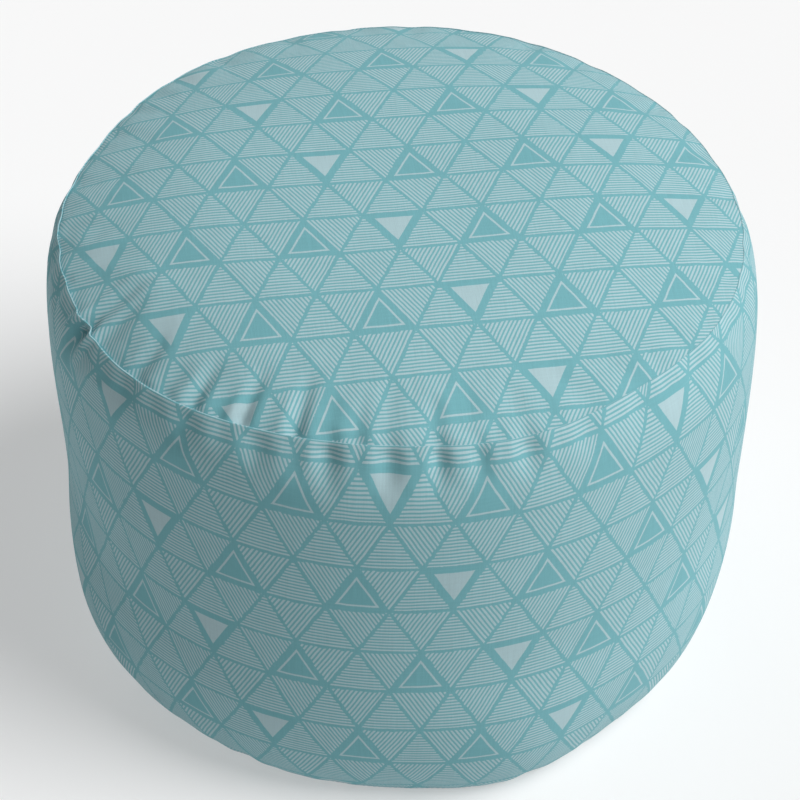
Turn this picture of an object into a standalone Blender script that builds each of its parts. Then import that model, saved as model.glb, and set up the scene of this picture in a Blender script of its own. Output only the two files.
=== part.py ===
"""A round filled pouf, sewn from a top panel, a side wall and a base panel.

Each of the three pieces of cloth is one solid with the filling behind it, so the
pouf is cut in three at its two seams. Lengths are metres, apart from the tables'
small distances, which are millimetres. A bearing is in degrees round the pouf,
0 at the front (-Y) and positive towards +X.
"""
import math
from collections import namedtuple

import bmesh
import bpy

MM = 0.001

# Driving dimensions
SEAM_RADIUS = 0.235
SEAM_HEIGHT = 0.345
CROWN_RISE = 0.0395
CROWN_POWER = 2.83
FOOT_RADIUS = 0.2200
FOOT_HEIGHT = 0.0015
STEPS_ROUND = 160

# The gap between two pieces, and how far a cut runs in from its seam
PIECE_GAP = 0.0004
CUT_IN = 0.010
TOP_CUT_DEPTH = 0.016
FOOT_CUT_DEPTH = 0.012
MERGE_DISTANCE = 0.00001

# The wall's section, from the foot seam to the top seam
WallPoint = namedtuple("WallPoint", "height radius")
WALL_SECTION = (
    WallPoint(FOOT_HEIGHT, FOOT_RADIUS),
    WallPoint(0.005, 0.2230),
    WallPoint(0.011, 0.2271),
    WallPoint(0.020, 0.2325),
    WallPoint(0.033, 0.2381),
    WallPoint(0.050, 0.2430),
    WallPoint(0.072, 0.2466),
    WallPoint(0.100, 0.2487),
    WallPoint(0.140, 0.2480),
    WallPoint(0.190, 0.2491),
    WallPoint(0.240, 0.2498),
    WallPoint(0.280, 0.2491),
    WallPoint(0.305, 0.2475),
    WallPoint(0.322, 0.2445),
    WallPoint(0.336, 0.2395),
    WallPoint(SEAM_HEIGHT, SEAM_RADIUS),
)

# Where the rings of the mesh lie: the wall's rows above the floor, and the crown's
# distances from its seam
WALL_ROWS = (0.341, 0.336, 0.329, 0.320, 0.308, 0.292, 0.265, 0.225, 0.180,
             0.140, 0.105, 0.078, 0.056, 0.038, 0.024, 0.013, 0.006)
CROWN_RINGS = (0.003, 0.007, 0.012, 0.019, 0.028, 0.042, 0.062, 0.088, 0.120, 0.160, 0.200)
BASE_EDGE = ((0.2160, 0.0003), (0.2105, 0.0))

# How the filling swells the cloth at each bearing: how far the foot, the waist, the
# shoulder and the seam stand out, how far the seam stands up, and how deep the panel
# dips behind the seam's edge, all in millimetres
Swell = namedtuple("Swell", "bearing foot waist shoulder seam_out seam_up valley")
SWELLS = (
    Swell(-165, 0.5, 0.5, 0.5, 2.0, 0.5, 1.2),
    Swell(-135, 1.0, 1.0, 1.0, 3.0, 0.5, 1.5),
    Swell(-110, 1.0, 1.0, 0.0, -0.5, 0.0, 1.5),
    Swell(-90, 0.0, -1.5, 0.5, 3.5, 0.0, 1.8),
    Swell(-65, 5.0, -2.5, 1.2, 3.0, 0.0, 3.5),
    Swell(-40, -0.5, 1.5, 1.0, 3.5, 0.0, 4.5),
    Swell(-20, -1.5, 0.5, 0.5, -1.5, 1.0, 4.0),
    Swell(0, -2.2, 0.0, 0.0, -3.0, 2.5, 3.0),
    Swell(20, 3.5, -0.5, -0.5, -0.5, 1.5, 2.0),
    Swell(40, -2.2, 0.0, -1.0, -3.5, 2.5, 0.6),
    Swell(65, -1.0, 0.0, 1.5, 0.0, 0.5, 0.4),
    Swell(90, -2.5, 0.8, -0.5, -0.5, 0.0, 1.5),
    Swell(110, -2.0, -1.5, -5.0, -2.5, 0.0, 1.5),
    Swell(135, -1.5, -1.0, -2.0, -1.5, 0.0, 1.2),
    Swell(165, -0.5, -0.5, -0.5, 3.0, 0.5, 1.2),
)
FOOT_LEVEL = 0.020
WAIST_LEVEL = 0.170
SHOULDER_LEVEL = 0.300
SEAM_UP_FADE = 0.045
VALLEY_PEAK = 0.007

# Puckers: where the sewing draws the cloth in, with the half width along the seam,
# the depth and the reach away from the seam in millimetres
Pucker = namedtuple("Pucker", "bearing half_width depth reach")
WALL_PUCKERS = (
    Pucker(-169, 7, 2.5, 24),
    Pucker(-157, 9, 1.5, 26),
    Pucker(-146, 8, 3.0, 30),
    Pucker(-134, 9, 2.0, 24),
    Pucker(-122, 7, 3.0, 28),
    Pucker(-111, 9, 2.0, 24),
    Pucker(-100, 8, 2.5, 26),
    Pucker(-91, 7, 2.0, 24),
    Pucker(-82, 8, 3.0, 30),
    Pucker(-73, 7, 4.0, 28),
    Pucker(-61, 6, 5.5, 32),
    Pucker(-48, 9, 1.5, 22),
    Pucker(-35, 9, 1.2, 20),
    Pucker(-23, 9, 1.5, 22),
    Pucker(-11.5, 8, 3.5, 26),
    Pucker(-2, 8, 3.0, 28),
    Pucker(5.7, 6, 3.5, 24),
    Pucker(12, 6, 2.0, 24),
    Pucker(19.8, 8, 2.5, 26),
    Pucker(30, 9, 1.2, 22),
    Pucker(41, 9, 1.0, 20),
    Pucker(54, 10, 1.0, 22),
    Pucker(66, 8, 1.5, 24),
    Pucker(76, 7, 2.5, 26),
    Pucker(85, 7, 3.0, 28),
    Pucker(97, 8, 2.5, 26),
    Pucker(109, 9, 2.0, 24),
    Pucker(121, 7, 3.0, 28),
    Pucker(132, 9, 1.5, 22),
    Pucker(144, 8, 3.0, 30),
    Pucker(157, 7, 2.5, 26),
    Pucker(168, 9, 2.0, 24),
    Pucker(179, 8, 3.0, 28),
)
PANEL_PUCKERS = (
    Pucker(-172, 8, 2.0, 30),
    Pucker(-158, 9, 1.5, 26),
    Pucker(-143, 7, 2.5, 34),
    Pucker(-128, 8, 1.5, 28),
    Pucker(-114, 7, 2.0, 30),
    Pucker(-98, 9, 1.5, 26),
    Pucker(-86, 7, 2.0, 28),
    Pucker(-70, 8, 2.0, 28),
    Pucker(-58, 8, 2.0, 30),
    Pucker(-49, 7, 2.5, 28),
    Pucker(-41, 7, 2.0, 30),
    Pucker(-35, 5, 3.0, 36),
    Pucker(-27, 7, 3.0, 38),
    Pucker(-18, 8, 3.0, 40),
    Pucker(-8, 9, 1.2, 26),
    Pucker(4, 9, 1.0, 24),
    Pucker(16, 10, 1.0, 24),
    Pucker(33, 10, 0.8, 22),
    Pucker(48, 9, 1.0, 24),
    Pucker(62, 8, 1.5, 26),
    Pucker(74, 6, 2.5, 26),
    Pucker(82, 6, 2.0, 24),
    Pucker(96, 8, 2.0, 30),
    Pucker(111, 9, 1.5, 28),
    Pucker(125, 7, 2.5, 32),
    Pucker(140, 8, 1.5, 26),
    Pucker(155, 7, 2.0, 32),
    Pucker(171, 8, 1.5, 28),
)
FOOT_PUCKERS = (
    Pucker(-170, 8, 1.5, 22),
    Pucker(-150, 9, 2.0, 26),
    Pucker(-131, 8, 1.5, 22),
    Pucker(-112, 9, 2.0, 26),
    Pucker(-92, 8, 1.5, 22),
    Pucker(-75, 9, 2.0, 26),
    Pucker(-56, 8, 2.5, 28),
    Pucker(-42, 8, 1.0, 20),
    Pucker(-29.6, 8, 2.5, 26),
    Pucker(-12, 9, 1.0, 22),
    Pucker(6, 9, 1.0, 20),
    Pucker(24, 9, 1.5, 22),
    Pucker(42, 8, 2.5, 26),
    Pucker(58, 8, 1.5, 22),
    Pucker(77, 9, 2.0, 26),
    Pucker(97, 8, 1.5, 22),
    Pucker(116, 9, 2.0, 26),
    Pucker(136, 8, 1.5, 22),
    Pucker(154, 9, 2.0, 24),
    Pucker(172, 8, 1.5, 22),
)
# The share of a pucker's depth that the seam itself is drawn in by, how far from the
# seam a pucker is deepest, and how fast a seam's shift fades towards a panel's middle
SEAM_GRIP = 0.4
DEEPEST_AT = 0.008
RIM_POWER = 3

# Cloth: a teal ground under a pale print, seen as one even colour
CLOTH_COLOUR = (0.29, 0.54, 0.585, 1.0)
CLOTH_ROUGHNESS = 0.85
SHARP_EDGE = math.radians(50)


def eased(share):
    """Rise smoothly from 0 to 1 while share goes from 0 to 1."""
    share = min(max(share, 0.0), 1.0)
    return share * share * (3.0 - 2.0 * share)


def curve_through(points, at):
    """Read a smooth curve that passes through points, a sorted list of (x, y)."""
    if at <= points[0][0]:
        return points[0][1]
    if at >= points[-1][0]:
        return points[-1][1]
    right = next(i for i, point in enumerate(points) if point[0] > at)
    left = right - 1
    span = points[right][0] - points[left][0]

    def rise(i):
        return (points[i + 1][1] - points[i][1]) / (points[i + 1][0] - points[i][0])

    def slope(i):
        if i == 0:
            return rise(0)
        if i == len(points) - 1:
            return rise(i - 1)
        before = points[i][0] - points[i - 1][0]
        after = points[i + 1][0] - points[i][0]
        return (rise(i - 1) * after + rise(i) * before) / (before + after)

    t = (at - points[left][0]) / span
    return ((2 * t ** 3 - 3 * t ** 2 + 1) * points[left][1]
            + (t ** 3 - 2 * t ** 2 + t) * span * slope(left)
            + (3 * t ** 2 - 2 * t ** 3) * points[right][1]
            + (t ** 3 - t ** 2) * span * slope(right))


def swell(column, bearing):
    """One column of the swell table at any bearing, in metres."""
    around = [(row.bearing, getattr(row, column)) for row in SWELLS]
    before = [(at - 360, value) for at, value in around[-2:]]
    after = [(at + 360, value) for at, value in around[:2]]
    return curve_through(before + around + after, bearing) * MM


def uneven(bearing, height):
    """How far the wall stands out from its section at a bearing and a height."""
    levels = (
        (FOOT_LEVEL, "foot"),
        (WAIST_LEVEL, "waist"),
        (SHOULDER_LEVEL, "shoulder"),
        (SEAM_HEIGHT, "seam_out"),
    )
    out = swell("foot", bearing)
    for (low, below), (high, above) in zip(levels, levels[1:]):
        if height > low:
            blend = eased((height - low) / (high - low))
            out = swell(below, bearing) * (1.0 - blend) + swell(above, bearing) * blend
    return out


def drawn_in(puckers, bearing, radius, away, grip):
    """How deep the puckers are at a bearing, at a distance away from their seam."""
    depth = 0.0
    for pucker in puckers:
        turn = (bearing - pucker.bearing + 180.0) % 360.0 - 180.0
        along = math.radians(turn) * radius / (pucker.half_width * MM)
        hold = grip + (1.0 - grip) * eased(away / DEEPEST_AT)
        fade = 1.0 - eased(away / (pucker.reach * MM))
        depth += pucker.depth * MM * math.exp(-along * along) * hold * fade
    return depth


def crown_height(radius):
    """The top panel's height at a radius."""
    return SEAM_HEIGHT + CROWN_RISE * (1.0 - (radius / SEAM_RADIUS) ** CROWN_POWER)


def top_seam_shift(bearing):
    """How far the top seam stands out and up at a bearing."""
    grip = drawn_in(WALL_PUCKERS, bearing, SEAM_RADIUS, 0.0, SEAM_GRIP)
    return swell("seam_out", bearing) - grip, swell("seam_up", bearing)


def foot_seam_shift(bearing):
    """How far the foot seam stands out at a bearing; it never leaves its height."""
    grip = drawn_in(FOOT_PUCKERS, bearing, FOOT_RADIUS, 0.0, SEAM_GRIP)
    return uneven(bearing, FOOT_HEIGHT) - grip, 0.0


def shape_cut(shift, bearing, radius, height):
    """Where a point of a cut lies: its ring follows the seam, and its middle stays."""
    out, up = shift(bearing)
    share = 1.0 if radius > CUT_IN else 0.0
    return radius + out * share, height + up * share


def shape_top(bearing, radius, height):
    """Where a point of the turned top panel really lies."""
    if height < SEAM_HEIGHT:
        return shape_cut(top_seam_shift, bearing, radius, height)
    out, up = top_seam_shift(bearing)
    away = SEAM_RADIUS - radius
    near = 1.0 - eased(away / SEAM_UP_FADE)
    valley = swell("valley", bearing) * away / VALLEY_PEAK * math.exp(1.0 - away / VALLEY_PEAK)
    crease = drawn_in(PANEL_PUCKERS, bearing, SEAM_RADIUS, away, 0.0)
    return radius + out * (radius / SEAM_RADIUS) ** RIM_POWER, height + up * near - valley - crease


def shape_wall(bearing, radius, height):
    """Where a point of the turned side wall really lies."""
    if radius < curve_through(WALL_SECTION, height) - CUT_IN / 2:
        shift = top_seam_shift if height > WAIST_LEVEL else foot_seam_shift
        return shape_cut(shift, bearing, radius, height)
    below_seam = max(SEAM_HEIGHT - height, 0.0)
    above_foot = max(height - FOOT_HEIGHT, 0.0)
    crease = drawn_in(WALL_PUCKERS, bearing, SEAM_RADIUS, below_seam, SEAM_GRIP)
    crease += drawn_in(FOOT_PUCKERS, bearing, FOOT_RADIUS, above_foot, SEAM_GRIP)
    near = 1.0 - eased(below_seam / SEAM_UP_FADE)
    return radius + uneven(bearing, height) - crease, height + swell("seam_up", bearing) * near


def shape_base(bearing, radius, height):
    """Where a point of the turned base panel really lies."""
    if height > FOOT_HEIGHT:
        return shape_cut(foot_seam_shift, bearing, radius, height)
    out, _ = foot_seam_shift(bearing)
    return radius + out * (radius / FOOT_RADIUS) ** RIM_POWER, height


def turned(name, profile, shape):
    """Turn a profile, a run of (radius, height) from top to bottom, and shape the result."""
    edges = [(i, i + 1) for i in range(len(profile) - 1)]
    outline = bpy.data.meshes.new(name + "_outline")
    outline.from_pydata([(radius, 0.0, height) for radius, height in profile], edges, [])
    turner = bpy.data.objects.new(name + "_turner", outline)
    pouf.objects.link(turner)
    screw = turner.modifiers.new("turn", "SCREW")
    screw.steps = STEPS_ROUND
    screw.render_steps = STEPS_ROUND
    screw.use_merge_vertices = True
    screw.merge_threshold = MERGE_DISTANCE
    evaluated = turner.evaluated_get(bpy.context.evaluated_depsgraph_get())
    mesh = bpy.data.meshes.new_from_object(evaluated)
    bpy.data.objects.remove(turner)

    body = bmesh.new()
    body.from_mesh(mesh)
    bmesh.ops.remove_doubles(body, verts=body.verts, dist=MERGE_DISTANCE)
    for vert in body.verts:
        radius = math.hypot(vert.co.x, vert.co.y)
        angle = math.atan2(vert.co.x, -vert.co.y)
        radius, height = shape(math.degrees(angle), radius, vert.co.z)
        vert.co = (radius * math.sin(angle), -radius * math.cos(angle), height)
    body.to_mesh(mesh)
    body.free()

    mesh.name = name
    mesh.shade_smooth()
    mesh.set_sharp_from_angle(angle=SHARP_EDGE)
    piece = bpy.data.objects.new(name, mesh)
    piece.data.materials.append(cloth(name))
    pouf.objects.link(piece)
    return piece


def cloth(name):
    """The printed cloth's material for one piece."""
    material = bpy.data.materials.new(name + "_cloth")
    material.use_nodes = True
    shader = material.node_tree.nodes["Principled BSDF"]
    shader.inputs["Base Color"].default_value = CLOTH_COLOUR
    shader.inputs["Roughness"].default_value = CLOTH_ROUGHNESS
    shader.inputs["Metallic"].default_value = 0.0
    return material


def top_panel():
    """The crowned round of cloth on top, closed below by its cut."""
    profile = [(0.0, crown_height(0.0))]
    for away in reversed(CROWN_RINGS):
        radius = SEAM_RADIUS - away
        profile.append((radius, crown_height(radius)))
    seam = SEAM_HEIGHT + PIECE_GAP / 2
    profile.append((SEAM_RADIUS, seam))
    profile.append((SEAM_RADIUS - CUT_IN, seam - TOP_CUT_DEPTH))
    profile.append((0.0, seam - TOP_CUT_DEPTH))
    return turned("top_panel", profile, shape_top)


def side_wall():
    """The band of cloth between the two seams."""
    seam = SEAM_HEIGHT - PIECE_GAP / 2
    foot = FOOT_HEIGHT + PIECE_GAP / 2
    profile = [
        (0.0, seam - TOP_CUT_DEPTH),
        (SEAM_RADIUS - CUT_IN, seam - TOP_CUT_DEPTH),
        (SEAM_RADIUS, seam),
    ]
    for height in WALL_ROWS:
        profile.append((curve_through(WALL_SECTION, height), height))
    profile.append((FOOT_RADIUS, foot))
    profile.append((FOOT_RADIUS - CUT_IN, foot + FOOT_CUT_DEPTH))
    profile.append((0.0, foot + FOOT_CUT_DEPTH))
    return turned("side_wall", profile, shape_wall)


def base_panel():
    """The round of cloth underneath, flat where it rests."""
    foot = FOOT_HEIGHT - PIECE_GAP / 2
    profile = [
        (0.0, foot + FOOT_CUT_DEPTH),
        (FOOT_RADIUS - CUT_IN, foot + FOOT_CUT_DEPTH),
        (FOOT_RADIUS, foot),
    ]
    profile.extend(BASE_EDGE)
    profile.append((0.0, 0.0))
    return turned("base_panel", profile, shape_base)


for old in list(bpy.data.objects):
    bpy.data.objects.remove(old)

pouf = bpy.data.collections.new("round_pouf")
bpy.context.scene.collection.children.link(pouf)

top_panel()
side_wall()
base_panel()
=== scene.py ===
# %% [markdown]
# # A round filled pouf in printed cloth
#
# The real thing is a low round seat. Its maker cuts a round top panel, a long straight
# band for the side wall and a round base panel from one printed cloth, sews them
# together inside out, turns the cover and fills it until it stands by itself.
#
# The solid model of those three pieces is ready, and this lesson dresses it. Each piece
# gets a fine skin with its puckers and its sewn edge, then the give of filled cloth, the
# weave and the print. The frame below is the solid model: it says where each piece is,
# and nothing here moves it.

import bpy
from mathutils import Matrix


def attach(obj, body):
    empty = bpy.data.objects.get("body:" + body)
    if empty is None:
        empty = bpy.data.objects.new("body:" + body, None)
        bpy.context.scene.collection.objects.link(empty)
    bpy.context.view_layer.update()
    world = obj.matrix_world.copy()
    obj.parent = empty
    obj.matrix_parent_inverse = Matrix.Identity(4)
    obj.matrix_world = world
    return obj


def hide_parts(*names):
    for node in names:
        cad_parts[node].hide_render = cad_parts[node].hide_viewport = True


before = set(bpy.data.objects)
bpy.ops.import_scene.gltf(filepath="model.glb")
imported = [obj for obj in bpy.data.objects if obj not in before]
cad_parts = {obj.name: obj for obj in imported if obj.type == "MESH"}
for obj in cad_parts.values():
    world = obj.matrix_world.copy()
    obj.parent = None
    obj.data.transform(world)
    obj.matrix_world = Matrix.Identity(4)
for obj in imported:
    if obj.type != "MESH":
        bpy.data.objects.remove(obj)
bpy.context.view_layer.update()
print("solids:", ", ".join(sorted(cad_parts)))

# %% Modules and the unit
import math
from functools import partialmethod

import bmesh
import bpy
import numpy as np
from mathutils import Matrix, Vector

MM = 0.001
ROOT = "root"

# %% [markdown]
# ## The camera
#
# The picture looks down on the pouf from the front with a long lens, so its round edges
# stay close to true ellipses. A camera could be turned by a Track To constraint. Here its
# three axes are worked out from the angle of view and one small roll, because that gives
# the same picture every time.

# %% Camera
LOOK_DOWN = math.radians(41.865)
CAMERA_ROLL = math.radians(0.467)
CAMERA_DISTANCE = 2.0144
LOOK_AT = Vector((-0.0016, 0.0, 0.1790))
SENSOR = 36.0
LENS = 123.83


def add_object(name, data):
    """Put a new object into the scene, at the origin."""
    made = bpy.data.objects.new(name, data)
    bpy.context.scene.collection.objects.link(made)
    return made


def make_camera():
    """A long-lens camera that looks down on the pouf from the front."""
    backwards = Vector((0.0, -math.cos(LOOK_DOWN), math.sin(LOOK_DOWN)))
    level = Vector((1.0, 0.0, 0.0))
    upwards = backwards.cross(level)
    right = level * math.cos(CAMERA_ROLL) + upwards * math.sin(CAMERA_ROLL)
    axes = Matrix((right, backwards.cross(right), backwards)).transposed()
    data = bpy.data.cameras.new("camera")
    data.sensor_width = SENSOR
    data.lens = LENS
    camera = add_object("camera", data)
    camera.matrix_world = Matrix.Translation(LOOK_AT + backwards * CAMERA_DISTANCE) @ axes.to_4x4()
    bpy.context.scene.camera = camera
    return camera


camera = make_camera()
print("camera at", [round(value, 3) for value in camera.location])

# %% [markdown]
# ## The sizes of the cover
#
# The cover is nearly a turned shape, so a few sizes and one section of the wall say most
# of it. A bearing is in degrees round the pouf: 0 is the front, and it grows towards +X.
# The wall's section runs from the foot seam to the top seam, as (height, radius).

# %% Driving sizes
SEAM_RADIUS = 0.235
SEAM_HEIGHT = 0.345
CROWN_RISE = 0.0395
CROWN_POWER = 2.83
FOOT_RADIUS = 0.2200
FOOT_HEIGHT = 0.0015
WALL_SECTION = (
    (FOOT_HEIGHT, FOOT_RADIUS), (0.005, 0.2230), (0.011, 0.2271), (0.020, 0.2325),
    (0.033, 0.2381), (0.050, 0.2430), (0.072, 0.2466), (0.100, 0.2487),
    (0.140, 0.2480), (0.190, 0.2491), (0.240, 0.2498), (0.280, 0.2491),
    (0.305, 0.2475), (0.322, 0.2445), (0.336, 0.2395), (SEAM_HEIGHT, SEAM_RADIUS),
)
print(f"top seam {2 * SEAM_RADIUS * 100:.0f} cm across, {SEAM_HEIGHT * 100:.1f} cm up")

# %% [markdown]
# ## How filled cloth is uneven
#
# No filled cover is a perfect round. The filling pushes it out more on one side than on
# another, and the sewing gathers it into short puckers that die away from the seam. Both
# could be pushed in by hand with a sculpting brush. Two tables keep them instead, so each
# swelling and each pucker can be read and changed by itself.
#
# A swell row holds: bearing, then how far the foot, the waist, the shoulder and the seam
# stand out, how far the seam stands up, and how deep the top panel dips behind it. A
# pucker row holds: bearing, half width along the seam, depth, and reach from the seam.
# All but the bearings are in millimetres. At the left, where the seam sags, one deep
# pucker between two ridges makes a small pleat under it. The three lean as they run down,
# and a fifth number says how much they lean for each millimetre.

# %% Tables of swellings and puckers
SWELL_COLUMNS = ("bearing", "foot", "waist", "shoulder", "seam_out", "seam_up", "valley")
SWELLS = (
    (-165, 0.5, 0.5, 0.5, 2.0, 0.5, 0.8), (-135, 1.0, 1.0, 1.0, 3.0, 0.5, 1.0),
    (-110, 1.0, 1.0, 0.0, -0.5, 0.0, 1.2), (-90, 0.0, -1.5, 0.5, 3.5, 0.0, 1.8),
    (-65, 5.0, -2.5, 1.2, 3.0, -2.0, 3.5), (-55, 2.5, -0.5, 1.1, 3.5, -5.0, 4.2),
    (-40, -0.5, 1.5, 1.0, 3.5, -1.5, 4.8), (-20, -1.5, 0.5, 0.5, -1.5, 1.0, 4.0),
    (0, -2.2, 0.0, 0.0, -3.0, 2.5, 3.0), (20, 3.5, -0.5, -0.5, -0.5, 1.5, 2.0),
    (40, -2.2, 0.0, -1.0, -3.5, 2.5, 0.6), (65, -1.0, 0.0, 1.5, 0.0, 0.5, 0.4),
    (90, -2.5, 0.8, -0.5, -0.5, 0.0, 0.5), (110, -2.0, -1.5, -5.0, -2.5, 0.0, 0.5),
    (135, -1.5, -1.0, -2.0, -1.5, 0.0, 0.6), (165, -0.5, -0.5, -0.5, 3.0, 0.5, 0.8),
)
WALL_PUCKERS = (
    (-169, 7, 1.2, 24), (-157, 9, 0.8, 26), (-146, 8, 1.5, 30), (-134, 9, 1.0, 24),
    (-122, 7, 1.5, 28), (-111, 9, 1.0, 24), (-100, 8, 1.5, 26), (-91, 7, 1.6, 24),
    (-82, 8, 3.0, 30), (-74, 6, 2.0, 28), (-65.3, 3, -3.0, 36, -0.45), (-62.4, 5, 9.0, 44, -0.4),
    (-59.6, 3, -3.0, 48, -0.35), (-48, 9, 1.5, 22), (-35, 9, 1.2, 20), (-23, 9, 1.5, 22),
    (-11.5, 7, 4.2, 28), (-2, 7, 3.8, 30), (5.7, 5.5, 4.2, 26), (12, 5.5, 2.6, 26),
    (19.8, 7, 3.4, 28), (30, 9, 1.2, 22), (41, 9, 1.0, 20), (54, 10, 1.0, 22),
    (66, 8, 1.2, 24), (76, 7, 1.2, 26), (85, 7, 2.0, 28), (97, 8, 1.2, 26),
    (109, 9, 1.0, 24), (121, 7, 1.5, 28), (132, 9, 0.8, 22), (144, 8, 1.5, 30),
    (157, 7, 1.2, 26), (168, 9, 1.0, 24), (179, 8, 1.5, 28),
)
PANEL_PUCKERS = (
    (-172, 8, 1.2, 30), (-158, 9, 0.9, 26), (-143, 7, 1.4, 34), (-128, 8, 0.9, 28),
    (-114, 7, 1.2, 30), (-98, 9, 1.2, 26), (-86, 7, 1.6, 28), (-71, 8, 1.6, 28),
    (-58, 7, 1.5, 26), (-47.5, 6, 2.2, 32), (-41, 6, 1.8, 30), (-35.5, 5, 3.5, 38),
    (-30.5, 5, 1.6, 26), (-26.5, 5, 4.0, 44), (-17.5, 5.5, 4.2, 50), (-7.5, 6, 2.1, 28),
    (4, 9, 1.0, 24), (16, 10, 1.0, 24), (33, 10, 0.8, 22), (48, 9, 1.0, 24),
    (62, 8, 1.2, 26), (74, 6, 1.4, 26), (82, 6, 1.2, 24), (96, 8, 1.2, 30),
    (111, 9, 0.9, 28), (125, 7, 1.4, 32), (140, 8, 0.9, 26), (155, 7, 1.2, 32),
    (171, 8, 0.9, 28),
)
FOOT_PUCKERS = (
    (-170, 8, 1.5, 22), (-150, 9, 2.0, 26), (-131, 8, 1.5, 22), (-112, 9, 2.0, 26),
    (-92, 8, 1.5, 22), (-75, 9, 2.0, 26), (-56, 8, 2.5, 28), (-42, 8, 1.0, 20),
    (-29.6, 8, 2.5, 26), (-12, 9, 1.0, 22), (6, 9, 1.0, 20), (24, 9, 1.5, 22),
    (42, 8, 2.5, 26), (58, 8, 1.5, 22), (77, 9, 2.0, 26), (97, 8, 1.5, 22),
    (116, 9, 2.0, 26), (136, 8, 1.5, 22), (154, 9, 2.0, 24), (172, 8, 1.5, 22),
)
WALL_LEVELS = ((0.020, "foot"), (0.170, "waist"), (0.300, "shoulder"), (SEAM_HEIGHT, "seam_out"))
SEAM_UP_FADE = 0.045
VALLEY_TERMS = ((0.6, 0.006), (0.4, 0.022))
FULL_VALLEY = 4.0 * MM
LEAST_FULLNESS = 0.15
PULL_FADE = 0.012
WALL_GRIP = 0.4
PANEL_GRIP = 0.6
DEEPEST_AT = 0.008
RIDGE_SHARE = 0.22
RIDGE_AT = 1.8
RIDGE_WIDTH = 0.7
RIM_POWER = 3
print(len(WALL_PUCKERS), "puckers under the top seam,", len(PANEL_PUCKERS), "on the top panel,",
      len(FOOT_PUCKERS), "at the foot")

# %% [markdown]
# ## Reading the tables
#
# A table holds a few places only, and the cloth needs thousands. Each column is read as a
# smooth curve through its rows, and each pucker as a soft bell along the seam with a low
# ridge on both sides, where the gathered cloth stands up. Arrays do this for a whole piece
# at once: bearings run along one axis, rings along the other.

# %% Curves from the tables


def eased(share):
    """Rise smoothly from 0 to 1 while share goes from 0 to 1."""
    share = np.clip(share, 0.0, 1.0)
    return share * share * (3.0 - 2.0 * share)


def fading(away, reach):
    """Fall smoothly from 1 at a seam to 0 at a reach away from it."""
    return 1.0 - eased(away / reach)


def turn_from(at, bearing):
    """The degrees from one bearing to others, by the shorter way round."""
    return (bearing - at + 180.0) % 360.0 - 180.0


def curve_through(points, at):
    """Read a smooth curve that passes through points, a sorted list of (x, y)."""
    x, y = np.array(points, dtype=float).T
    step = np.diff(x)
    rise = np.diff(y) / step
    inner = (rise[:-1] * step[1:] + rise[1:] * step[:-1]) / (step[1:] + step[:-1])
    slope = np.concatenate(([rise[0]], inner, [rise[-1]]))
    at = np.clip(at, x[0], x[-1])
    left = np.clip(np.searchsorted(x, at, side="right") - 1, 0, len(step) - 1)
    t = (at - x[left]) / step[left]
    return ((2 * t ** 3 - 3 * t ** 2 + 1) * y[left]
            + (t ** 3 - 2 * t ** 2 + t) * step[left] * slope[left]
            + (3 * t ** 2 - 2 * t ** 3) * y[left + 1]
            + (t ** 3 - t ** 2) * step[left] * slope[left + 1])


def swell(column, bearing):
    """One column of the swell table at any bearings, in metres."""
    place = SWELL_COLUMNS.index(column)
    around = [(row[0], row[place]) for row in SWELLS]
    before = [(at - 360, value) for at, value in around[-2:]]
    after = [(at + 360, value) for at, value in around[:2]]
    return curve_through(before + around + after, bearing) * MM


def fullness(bearing):
    """How full the gathers are at a bearing, from 0 to 1, which follows the dip at the seam."""
    return np.clip(swell("valley", bearing) / FULL_VALLEY, LEAST_FULLNESS, 1.0)


def uneven(bearing, height):
    """How far the wall stands out from its section at bearings and heights."""
    out = swell("foot", bearing) + 0.0 * height
    for (low, below), (high, above) in zip(WALL_LEVELS, WALL_LEVELS[1:]):
        blend = eased((height - low) / (high - low))
        mixture = swell(below, bearing) * (1.0 - blend) + swell(above, bearing) * blend
        out = np.where(height > low, mixture, out)
    return out


def drawn_in(puckers, bearing, radius, away, grip):
    """How deep the puckers are at bearings, at distances away from their seam."""
    depth = 0.0 * bearing * away
    for at, half_width, deep, reach, *lean in puckers:
        side = np.radians(turn_from(at, bearing)) * radius - sum(lean) * away
        along = np.abs(side) / (half_width * MM)
        ridge = np.exp(-((along - RIDGE_AT) / RIDGE_WIDTH) ** 2)
        bell = np.exp(-along ** 2) - RIDGE_SHARE * ridge
        hold = grip + (1.0 - grip) * eased(away / DEEPEST_AT)
        depth = depth + deep * MM * bell * hold * fading(away, reach * MM)
    return depth


def crown_height(radius):
    """The top panel's height at a radius."""
    return SEAM_HEIGHT + CROWN_RISE * (1.0 - (radius / SEAM_RADIUS) ** CROWN_POWER)


def top_seam_shift(bearing):
    """How far the top seam stands out and up at a bearing."""
    grip = drawn_in(WALL_PUCKERS, bearing, SEAM_RADIUS, 0.0, WALL_GRIP)
    return swell("seam_out", bearing) - grip, swell("seam_up", bearing)


def foot_seam_shift(bearing):
    """How far the foot seam stands out at a bearing."""
    grip = drawn_in(FOOT_PUCKERS, bearing, FOOT_RADIUS, 0.0, WALL_GRIP)
    return uneven(bearing, FOOT_HEIGHT) - grip


print("deepest pucker under the top seam:", max(row[2] for row in WALL_PUCKERS), "mm")

# %% [markdown]
# ## The sewn edge
#
# Where the wall meets the top panel, the folded edge of the wall stands up as a thin
# rounded lip, and the panel comes out from behind it. On the left and at the front the
# filling pushes the wall up, so the lip is higher there. At the back of the wall one
# upright seam closes the band.
#
# A bevel along the edge would be even all the way round. The lip is worked out from the
# same table as the dip behind it, so it grows and dies away with it.

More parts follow.
